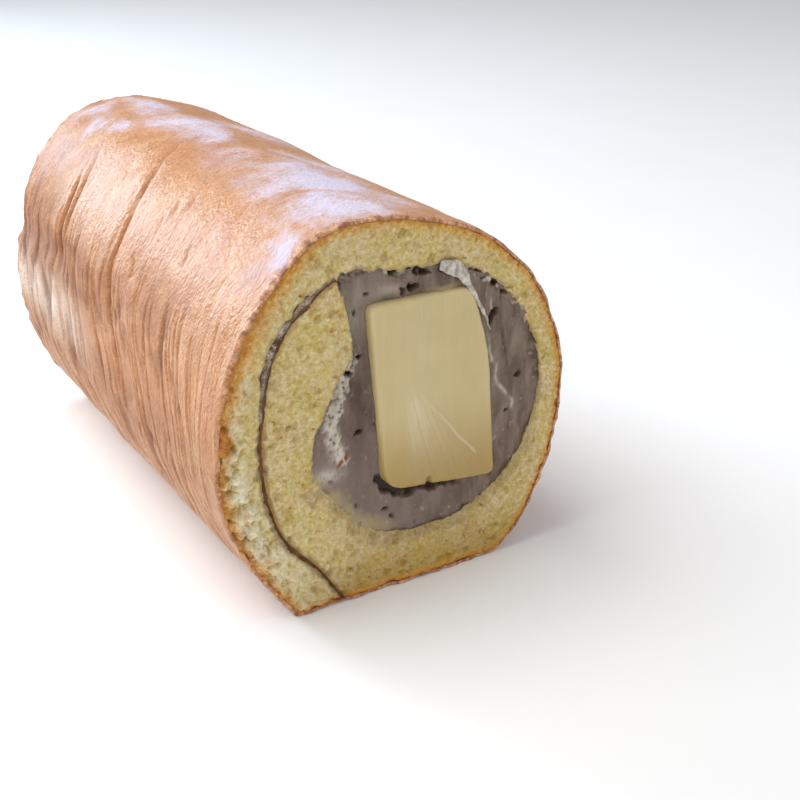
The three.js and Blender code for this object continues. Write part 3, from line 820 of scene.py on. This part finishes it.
def make_skin(roll, finish, material):
    """The baked skin: one thin sheet round the outside, open where it goes in at the seam under the roll."""
    line = spaced(roll.skin, finish.skin_columns, 1 + 0.8 * smooth(10, -10, roll.skin[:, 0]))
    x, z = line.T
    ends = np.array([0, 0.15, 0.5, 1])
    steps = np.linspace(1.8, roll.length - 1.8, finish.skin_rows - 2 * len(ends))
    steps = np.concatenate([ends, steps, roll.length - ends[::-1]])[:, None]
    left = plateau(18, 30, 48, 60, z) * (x < -20)
    start = 0.25 + 0.35 * noise(x / 4, z / 4, 5) + 0.3 * noise(x / 1.9, z / 1.9, 6)
    start = start + 1.2 * left * smooth(-0.3, 0.6, noise(x / 4, z / 4, 15))
    stop = roll.cut(1, z, 0.2 + 0.3 * noise(x / 3, z / 3, 14))
    along = start + (stop - start) * steps / roll.length
    from_end = np.minimum(along - start, stop - along)
    sink = 0.45 * smooth(2.4, 0.4, from_end) * noise(x / 1.9, along / 1.5, z / 1.9)
    sink = sink + 0.3 * smooth(0.6, 0, from_end)
    points, angle, fine = roll.skin_points(along, line, sink)
    drift = [rough(along / 11, angle / 14, seed) for seed in (61, 67)]
    dust = 0
    for place, turn, reach, spread, strength in DUST:
        there = bell(along - place + 7 * drift[0], reach) * bell(angle - turn + 8 * drift[1], spread)
        dust = np.maximum(dust, strength * there)
    # The brown band low on the left is partly browned skin and partly painted shade below the highlight; the
    # table adds painted shade at the far end and under folds
    band = angle - 153 - 9 * smooth(35, 90, along) + 2 * noise(along / 14, angle / 12, 31)
    brown = (0.55 + 0.35 * smooth(50, 95, along)) * smooth(18, 42, along) * bell(band, 9)
    for strength, begins, full, turn, spread in BROWN_AND_SHADE:
        brown = brown + strength * smooth(begins, full, along) * bell(angle - turn, spread)
    brown = brown + 0.3 * bell(along - 48, 13) * bell(angle - 164, 7)
    brown = brown - 0.35 * bell(along - 60, 6) * bell(angle - 155, 7)
    toast = 1.3 + 1.2 * bell(angle - 128, 26)
    edge = smooth(toast, 0.2, from_end + 1.1 * noise(x / 2.1, along / 1.2, z / 2.1))
    # Painted shade in the folds and fine creases, from how deep the relief lies
    crease = np.clip(-0.5 * (roll.relief(along, angle) + 0.35) - 1.2 * fine, 0, 1)
    values = {
        "dust": dust,
        "brown": np.clip(brown, 0, 0.9),
        # pale: painted sheen low on the left towards the far end
        "pale": 0.9 * smooth(84, 112, along) * bell(angle - 181, 10),
        "crease": 0.8 * crease * smooth(0, 9, z),
        "edge": (0.9 - 0.6 * bell(angle - 185, 30)) * edge,
    }
    arc = travelled(line)
    work = Patchwork()
    outer = work.add(*np.moveaxis(points, -1, 0), around=arc, lengthways=along, **values)
    within = along[::10]
    inside, _, _ = roll.skin_points(within, line, roll.skin_thickness)
    inside[..., 2] = np.maximum(inside[..., 2], roll.skin_thickness)
    inner = work.add(*np.moveaxis(inside, -1, 0), around=arc, lengthways=within, edge=0.9)
    work.cover(outer)
    work.cover(inner)
    for end in (0, -1):
        work.join(outer[end], inner[end], closed=False)
        work.fan(np.concatenate([outer[:, end], inner[::-1, end]]), edge=0.9)
    return work.build("baked_skin", material)


def make_paste(roll, finish, material):
    """Taro paste round the pudding, with a film of it pressed into the upper part of the seam."""
    centre = np.array((8.0, roll.height / 2 + 3))
    theta = np.linspace(0, 360, finish.paste_columns, endpoint=False)
    core = pudding_outline(roll)
    core = spaced(np.vstack([core, core[:1]]), 500)
    inner = roll.reach(core, theta, centre) - 0.25
    thick = roll.reach(roll.paste, theta, centre) + 0.7 - inner
    t = np.linspace(0, 1, finish.paste_rows)[:, None]
    x, z = polar(centre, inner + thick * t, np.radians(theta))
    work = Patchwork()
    faces = []
    for far in (0, 1):
        y, values = paste_face(roll, x, z, far, thick * (1 - t) - 0.6, thick * t)
        faces.append(work.add(x, y, z, **values))
        work.cover(faces[-1], wrap=True)
    for row in (0, -1):
        x, z = work.places(faces[0][row])
        # The walls get painted shade
        walls = [work.add(x, roll.cut(far, z, 4), z, hollow=0.6) for far in (0, 1)]
        work.join(faces[0][row], *walls, faces[1][row])
    share = np.linspace(0, FILM_SHARE, 260)
    at, out = roll.along_seam(share)
    t = np.linspace(-1, 1, 9)[:, None]
    x, z = (at[:, n] + out[:, n] * (roll.film_half(share) + 0.3) * t for n in (0, 1))
    film = smooth(0.02, 0.07, share) * np.maximum(0.5, smooth(0.25, 0.7, roll.film_half(share)))
    strips = []
    for far in (0, 1):
        _, values = paste_face(roll, x, z, far, 9.0, 9.0)
        ragged = rough(x / 1.1, z / 1.1, 77 + far)
        # Painted shade along the film's lower edge
        hollow = 0.75 * smooth(-0.2, -0.8, t + 0.5 * ragged) * smooth(0, 0.06, share)
        values.update(hollow=hollow, film=film, pale=0)
        back = 0.5 + 0.2 * ragged + 0.3 * hollow + 0.2 * noise(x / 3, z / 3, 81)
        strips.append(work.add(x, roll.cut(far, z, back), z, **values))
        work.cover(strips[-1])
    work.join(rim_of(strips[0]), rim_of(strips[1]))
    return work.build("taro_filling", material)


def paste_face(roll, x, z, far, inside, beside):
    """Where the cut face of the paste lies, and what its colour depends on.

    inside is the distance to the sponge, beside the distance to the pudding.
    """
    shift_x, shift_z = (0.9 * rough(x / 1.5, z / 1.5, seed) for seed in (3, 43))
    back = 1.0 + 0.6 * noise(x / 5, z / 9, 21 + 4 * far) + 0.25 * noise(x / 2.2, (z + x) / 6, 8)
    back = back + 0.16 * rough(x, (z + 0.6 * x) / 5, 30 + far) + 0.14 * rough(x / 0.8, z / 0.8, 33 + far)
    hollow = fleck = 0
    for px, pz, radius, depth in PITS:
        pit = smooth(1.3, 0.5, np.hypot((x - px + shift_x) / 1.25, (z - pz + shift_z) / 0.8) / radius)
        back = back + depth * pit
        hollow = np.maximum(hollow, pit)
    for px, pz, wide, tall in FLECKS:
        away = np.hypot((x - px - 0.3 * (z - pz)) / wide, (z - pz) / tall)
        fleck = np.maximum(fleck, smooth(1.2, 0.8, away) * (1 - far))

    # Small round pits, and the ragged edge against the sponge, with painted shade in its voids and pale dots
    near, own = grains(x / 3.4 + 0.3 * shift_x, z / 2.8 + 0.3 * shift_z, 51 + far)
    small = smooth(0.86, 0.97, own) * smooth(0.2, 0.08, near) * smooth(22, 12, x)
    edge = smooth(2.2, 0.9, inside + 1.7 * shift_x) * smooth(-0.25, 0.25, noise(x / 1.9, z / 1.4, 49 + far))
    edge = edge * (0.3 * smooth(34, 46, z) + 0.7 * smooth(66, 73, z))
    dots = smooth(0, 0.3, noise(x / 0.9, z / 0.9, 75)) * smooth(0.1, 0.5, edge)

    # The crack under the pudding with painted shade in it, the yellow tinge above it and the groove beside
    # it, also shaded
    crack = smooth(2.9, 2.1, beside + 1.2 * shift_x + 0.04 * (x + 6))
    crack = crack * smooth(17, 13, x) * smooth(30.5, 28, z)
    window = 0.8 * bell(x - 12, 5) * smooth(1.9, 0.6, beside + 0.4 * shift_x) * smooth(68, 71, z)
    groove = bell(x - np.interp(z, (46, 58, 70), (29.6, 27.6, 25.6)) - 0.5 * noise(z / 5, 0, 8), 0.25)
    groove = groove * plateau(45, 50, 67, 71, z)

    # Pale porous strip on the left, with the bloom below it and painted shade between it and the pudding
    middle = np.interp(z, (34, 40, 46, 52, 58, 63), (-15, -16.8, -18, -15.8, -12.8, -11.4))
    strip = bell(x - middle, 2.4) * plateau(33, 38, 57, 63, z)
    strip = smooth(0.25, 0.8, strip + 0.55 * rough(x, z / 1.5, 73)) * (1 - far)
    bloom = np.hypot((x + 18.8) / 3.8, (z - 33.2) / 1.9) + 0.35 * rough(x / 1.6, z / 1.2, 57)
    bloom = bell(bloom, 1) * (1 - far)
    veil = bell(np.hypot((x + 2.6) / 3.6, (z - 73.4) / 1.3) + 0.4 * shift_x, 1)
    holes, mark = grains(x / 0.75 + 0.5 * shift_x, z / 0.95, 61)
    porous = np.maximum(strip, 0.7 * bloom) * smooth(-0.1, 0.6, mark) * smooth(0.42, 0.12, holes)
    # Painted shade left of the pudding, where the paste lies back
    dark = bell(x + 10.5, 3.2) * bell(z - 48, 17)

    # Violet paste low down, fading into the sponge, and the flake beside the pudding with its pale lip
    lilac = smooth(42, 30, z + 0.4 * x) * smooth(20, 4, x) * (0.75 + 0.35 * noise(x / 4, z / 3, 71))
    fade = 0.75 * smooth(4.2, 0, inside + 2.2 * shift_z) * smooth(38, 27, z) * smooth(2, -8, x)
    flake = x - np.interp(z, *np.transpose(FLAKE)) + 0.45 * rough(x / 2.2, z / 1.3, 87)
    gate = plateau(37, 40, 57, 59, z)
    lip = bell(flake, 0.5) * gate * (0.65 + 0.5 * noise(x / 1.3, z / 1.3, 88))
    flap = smooth(0.15, -0.15, flake) * smooth(12, 16, x) * gate
    streak = 0.6 * bell(x - 23.9 - 0.5 * noise(z / 1.2, 0, 5), 0.3) * plateau(63.2, 64, 65.5, 67, z)

    back = back + 0.8 * small + 0.6 * porous - 0.6 * strip + 0.7 * edge + 0.5 * dark
    back = back * (1 - 0.6 * fade) - 0.45 * flap - 0.3 * lip + 1.6 * crack + 0.3 * groove
    # Painted shade in the pits, the voids along the sponge, the crack, the groove and left of the pudding
    hollow = 0.9 * hollow + 0.8 * small + 0.75 * porous + 0.9 * edge * (1 - dots)
    hollow = hollow + 0.55 * dark + 0.35 * groove + crack
    pale = strip * (0.8 + 0.3 * smooth(-17.5, -15, x - 0.12 * (z - 45)))
    pale = pale * (0.85 + 0.4 * noise(x / 0.6, z / 0.7, 83)) + 1.1 * dots + lip + streak
    pale = pale + 0.75 * bloom + 0.35 * veil + 0.22 * bell(np.hypot(x + 11, z - 69), 8)
    clipped = {"hollow": hollow, "pale": pale, "lilac": lilac + 0.2 * flap}
    values = {name: np.clip(value, 0, 1) for name, value in clipped.items()}
    return roll.cut(far, z, back), {**values, "fade": np.maximum(fade, window), "fleck": fleck}


def pudding_outline(roll, steps=12):
    """The pudding's straight sides and rounded corners, from the upper left corner on."""
    corners = np.array([c[:2] for c in PUDDING_CORNERS]) * (roll.width / 100, roll.height / 100)
    t = np.linspace(0, 1, steps)[:, None]
    parts = []
    for n, (_, _, radius) in enumerate(PUDDING_CORNERS):
        corner = corners[n]
        ways = [other - corner for other in (corners[n - 1], corners[(n + 1) % len(corners)])]
        before, after = (corner + way * radius / np.linalg.norm(way) for way in ways)
        parts.append((1 - t) ** 2 * before + 2 * t * (1 - t) * corner + t**2 * after)
    return np.vstack(parts)


def make_pudding(roll, finish, material):
    """The bar of milk pudding, standing a little out of both cuts, with soft edges."""
    line = pudding_outline(roll, 13)
    loop = np.vstack([line[6:], line[:7]])  # from the middle of the upper left corner
    wide, high = finish.pudding_columns, finish.pudding_rows
    top, bottom = spaced(loop[0:14], wide), spaced(loop[39:53], wide)[::-1]
    right, left = spaced(loop[13:40], high)[::-1], spaced(loop[52:66], high)
    u, v = np.linspace(0, 1, wide)[None, :, None], np.linspace(0, 1, high)[:, None, None]
    corners = (1 - v) * ((1 - u) * bottom[0] + u * bottom[-1]) + v * ((1 - u) * top[0] + u * top[-1])
    grid = (1 - v) * bottom + v * top + (1 - u) * left[:, None] + u * right[:, None] - corners
    x, z = grid[..., 0], grid[..., 1]
    span, rise = 29.0, 49.0  # about the bar's width and height, for distances from its edge
    edge = np.minimum(np.minimum(u, 1 - u)[..., 0] * span, np.minimum(v, 1 - v)[..., 0] * rise)

    # The scratch runs down to the right, knife lines fan out below it
    down, over = np.array((11, 13)) / np.hypot(11, 13)
    along, across = (x - 8) * down - (z - 43) * over, (x - 8) * over + (z - 43) * down
    ridge = bell(across + 0.3 * noise(along / 5, 0, 3), 0.24) * plateau(-13, 10, 16, 18.5, along)
    drop = np.maximum(0, 55 - z)
    values = {
        "stroke": np.where(x > -4, (x - 0.28 * drop) / (1 + 0.07 * drop), x),
        # Darker towards the bottom of the bar
        "deep": 0.95 * smooth(48, 24, z),
        "lined": 0.3 + 0.7 * smooth(1, -3, across) * smooth(58, 46, z) * smooth(-1, 3, x),
        "scratch": 0.6 * ridge,
    }
    nick = smooth(0.9, 0.3, np.abs(x - 6.6 - 0.06 * (27 - z) ** 2)) * smooth(27.2, 25.5, z)
    chip = smooth(1.6, 0.5, edge + 0.7 * noise(x / 1.2, z / 1.2, 2)) * smooth(12, 8, x) * smooth(30, 26, z)
    rounded = np.clip(1 - edge / 1.1, 0, 1)
    even = 0.048 * np.sin(x * 1.9 + 0.02 * z) + 0.25 * noise(x / 9, z / 14, 3) - 0.6
    even = even + 1.2 * (1 - np.sqrt(1 - 0.98 * rounded**2)) - 0.45 * ridge
    work = Patchwork()
    faces = []
    for far in (0, 1):
        back = even + 0.12 * rough(x / 2, z / 2, 5 + far) * smooth(3, 0, edge)
        back = back + (1 - far) * (1.8 * nick + 0.4 * chip)
        faces.append(work.add(x, roll.cut(far, z, back), z, **values))
        work.cover(faces[-1])
    edges = [rim_of(face) for face in faces]
    x, z = work.places(edges[0])
    walls = [work.add(x, roll.cut(far, z, 1.6), z, stroke=x) for far in (0, 1)]
    work.join(edges[0], *walls, edges[1])
    return work.build("milk_pudding_bar", material, 60)


def make_seam_skin(roll, finish, material):
    """The brown edge of the inner turn's skin, which runs down the seam."""
    share = np.linspace(0.035, 0.985, 150)
    at, out = roll.along_seam(share)
    inwards = np.where(share < FILM_SHARE + 0.02, roll.film_half(share) + 0.25, 0.05)
    points = roll.placed(at - out * inwards[:, None], 0.5 * roll.length)
    inputs = {"Depth": roll.length / 1000 - 0.0014, "Thickness": 0.0010, "Ripples": 700.0, "Sway": 0.0007}
    return grow("seam_skin", line_mesh("seam_line", points), band_nodes, inputs, material)


def make_smear(roll, finish, material):
    """A pale ridge of paste and pudding that the knife drew down the bar's upper right side."""
    points = roll.placed(spaced(spline(SMEAR_PATH), 120), 0.2)
    inputs = {"Thickness": 0.0010, "Ripples": 480.0, "Sway": 0.0012, "Flatness": 0.2}
    inputs["Plane"] = float(points[0, 1])
    return grow("knife_smear", line_mesh("smear_line", points), smear_nodes, inputs, material)


def make_bits(roll, finish, material, source):
    """Loose crumbs of sponge left on the cuts by the knife."""
    inputs = {"Density": finish.bits_density, "Size": 0.0004, "Lumps": 1500.0, "Seed": finish.seed}
    return grow("loose_crumbs", source.data.copy(), bits_nodes, inputs, material)


# The add-on


def number(name, description, default, **kind):
    return FloatProperty(name=name, description=description, default=default, **kind)


def metres(name, description, default):
    return number(name, description, default, subtype="DISTANCE", unit="LENGTH")


def watts(name, description, default):
    return number(name, description, default, unit="POWER")


def count(name, description, default):
    return IntProperty(name=name, description=description, default=default)


def shade(name, description, code):
    settings = {"size": 4, "min": 0, "max": 1, "subtype": "COLOR"}
    return FloatVectorProperty(name=name, description=description, default=linear(code), **settings)


class RollSizes(bpy.types.PropertyGroup):
    """The real sizes of the roll."""

    width: metres("Width", "Across the roll", 0.090)
    height: metres("Height", "From base to top", 0.090)
    length: metres("Length", "Between the two cuts", 0.144)
    far_lean: metres("Far cut's lean", "How far the far cut leans back over the roll's height", 0.005)
    fold_lean: metres("Fold lean", "How far the folds sweep towards the cut under the roll", 0.014)
    skin_thickness: metres("Skin", "Thickness of the baked skin", 0.0008)
    film: metres("Film", "Thickness of the paste in the seam", 0.0013)


class RollColours(bpy.types.PropertyGroup):
    """The main colours. Each material wanders between its dark and its light one."""

    skin_dark: shade("Skin, dark", "Baked skin where it browned more", "#c2804b")
    skin_light: shade("Skin, light", "Baked skin where it browned less", "#cd925c")
    # Browned skin and painted shade, for the brown band and patches
    scorch_and_shade: shade("Scorched skin", "The brown band low on the left side", "#935a32")
    dust: shade("Dust", "Fine starch on the skin", "#d3cbdf")
    crumb_dark: shade("Crumb, dark", "Cut sponge", "#dec384")
    crumb_light: shade("Crumb, light", "Cut sponge", "#e4ce92")
    toasted: shade("Toasted crumb", "Sponge next to the skin", "#e0a044")
    paste_dark: shade("Paste, dark", "Taro paste", "#705b4c")
    paste_light: shade("Paste, light", "Taro paste", "#7b6658")
    pudding_dark: shade("Pudding, dark", "Milk pudding", "#d3be89")
    pudding_light: shade("Pudding, light", "Milk pudding", "#d8c491")
    seam_dark: shade("Seam, dark", "Skin that goes in at the seam", "#54371f")
    seam_light: shade("Seam, light", "Skin that goes in at the seam", "#7d5936")
    smear_dark: shade("Smear, dark", "Paste that the knife drew out", "#9c8f83")
    smear_light: shade("Smear, light", "Paste that the knife drew out", "#e0d8cb")
    floor_dark: shade("Floor, dark", "The pale floor", "#f3f2f1")
    floor_light: shade("Floor, light", "The pale floor", "#f7f6f5")


class CutFinish(bpy.types.PropertyGroup):
    """How finely the pieces are made."""

    grain: number("Grain", "Size of the crumb's holes against the usual", 1.0)
    columns: count("Crumb columns", "Points along the spiral", 900)
    rows: count("Crumb rows", "Points through the sponge", 46)
    skin_columns: count("Skin columns", "Points round the skin", 216)
    skin_rows: count("Skin rows", "Points along the skin, one more than a multiple of ten", 401)
    paste_columns: count("Paste columns", "Points round the paste", 520)
    paste_rows: count("Paste rows", "Points across the paste", 38)
    pudding_columns: count("Pudding columns", "Points across the pudding", 90)
    pudding_rows: count("Pudding rows", "Points up the pudding", 140)
    bits_density: number("Crumbs", "Loose crumbs to each square metre of cut", 60000.0)
    seed: count("Seed", "Which scatter of crumbs", 4)


class StudioSettings(bpy.types.PropertyGroup):
    """Floor, lights and camera."""

    floor_size: metres("Floor", "Side of the floor", 3.0)
    window: watts("Window", "Watts of the large light behind, on the left", 5.8)
    top: watts("Top light", "Watts of the light overhead, on the left", 8.0)
    front: watts("Front light", "Watts of the light in front", 1.3)
    sky: number("Room light", "Strength of the light from all round", 0.5)
    lens: number("Lens", "Focal length in millimetres", 57.35)


def parts_of(context):
    scene = context.scene
    return Roll(scene.swiss_roll_sizes), scene.swiss_roll_finish, scene.swiss_roll_colours


class MakeSponge(bpy.types.Operator):
    """Makes the sponge: its crumb at the cuts, the baked skin, that skin's edge in the seam, loose crumbs"""

    bl_idname = "swiss_roll.sponge"
    bl_label = "Sponge"

    def execute(self, context):
        roll, finish, colours = parts_of(context)
        crumb = make_crumb(roll, finish, surface("sponge_crumb", crumb_paint, colours))
        skin = make_skin(roll, finish, surface("baked_skin", skin_paint, colours))
        seam = make_seam_skin(roll, finish, surface("seam_skin", seam_paint, colours))
        bits = make_bits(roll, finish, surface("loose_crumb", crumb_paint, colours), crumb)
        for piece in (crumb, skin, seam, bits):
            claim(piece, "sponge_roll")
        return {"FINISHED"}


class MakeFilling(bpy.types.Operator):
    """Makes the filling: the taro paste, the bar of pudding and the smear that the knife left"""

    bl_idname = "swiss_roll.filling"
    bl_label = "Filling"

    def execute(self, context):
        roll, finish, colours = parts_of(context)
        paste = make_paste(roll, finish, surface("taro_paste", paste_paint, colours))
        bar = make_pudding(roll, finish, surface("milk_pudding", pudding_paint, colours))
        smear = make_smear(roll, finish, surface("knife_smear", smear_paint, colours))
        claim(paste, "taro_paste")
        claim(bar, "milk_pudding")
        claim(smear, "taro_paste")
        return {"FINISHED"}


class SetStage(bpy.types.Operator):
    """Sets the pale floor, the soft lights and the camera where the photograph was taken from"""

    bl_idname = "swiss_roll.stage"
    bl_label = "Stage"

    def execute(self, context):
        scene, settings = context.scene, context.scene.swiss_roll_studio
        half = settings.floor_size / 2
        mesh = bpy.data.meshes.new("floor")
        corners = [(-half, -half, 0), (half, -half, 0), (half, half, 0), (-half, half, 0)]
        mesh.from_pydata(corners, [], [(0, 1, 2, 3)])
        mesh.materials.append(surface("pale_floor", floor_paint, scene.swiss_roll_colours))
        put("floor", mesh)
        for name, colour, sides, place in LIGHTS:
            lamp = bpy.data.lights.new(name + "_light", "AREA")
            lamp.color = linear(colour)[:3]
            lamp.shape, lamp.energy, lamp.size, lamp.size_y = "RECTANGLE", getattr(settings, name), *sides
            aim(put(name + "_light", lamp), place, LIGHTS_AIM)
        world = bpy.data.worlds.new("room")
        world.use_nodes = True
        room = world.node_tree.nodes["Background"].inputs
        room["Color"].default_value, room["Strength"].default_value = linear("#f4f6fa"), settings.sky
        scene.world = world
        scene.view_settings.view_transform = "Standard"
        lens = bpy.data.cameras.new("camera")
        lens.lens, lens.sensor_width, lens.clip_start = settings.lens, 36, 0.01
        scene.camera = put("camera", lens)
        aim(scene.camera, CAMERA_PLACE, [a + b for a, b in zip(CAMERA_PLACE, CAMERA_DIRECTION)])
        return {"FINISHED"}


def aim(thing, place, target):
    """Puts a light or camera at a place and turns it to look at the target."""
    back = [a - b for a, b in zip(place, target)]
    thing.location = place
    thing.rotation_euler = (math.acos(back[2] / math.hypot(*back)), 0, math.atan2(back[0], -back[1]))


class SwissRollPanel(bpy.types.Panel):
    """Settings and buttons for the roll"""

    bl_idname = "VIEW3D_PT_swiss_roll"
    bl_label = "Cut Swiss Roll"
    bl_space_type = "VIEW_3D"
    bl_region_type = "UI"
    bl_category = "Swiss Roll"

    def draw(self, context):
        for name, kind in GROUPS.items():
            box = self.layout.box()
            for setting in kind.__annotations__:
                box.prop(getattr(context.scene, name), setting)
        for kind in OPERATORS:
            self.layout.operator(kind.bl_idname)


OPERATORS = (MakeSponge, MakeFilling, SetStage)
GROUPS = {
    "swiss_roll_sizes": RollSizes,
    "swiss_roll_colours": RollColours,
    "swiss_roll_finish": CutFinish,
    "swiss_roll_studio": StudioSettings,
}


def register():
    for kind in (*GROUPS.values(), *OPERATORS, SwissRollPanel):
        bpy.utils.register_class(kind)
    for name, kind in GROUPS.items():
        setattr(bpy.types.Scene, name, PointerProperty(type=kind))


def unregister():
    for name in GROUPS:
        delattr(bpy.types.Scene, name)
    for kind in (SwissRollPanel, *reversed(OPERATORS), *reversed(GROUPS.values())):
        bpy.utils.unregister_class(kind)


def main():
    """Builds everything in order."""
    register()
    bpy.ops.swiss_roll.sponge()
    bpy.ops.swiss_roll.filling()
    bpy.ops.swiss_roll.stage()


if __name__ == "__main__":
    main()
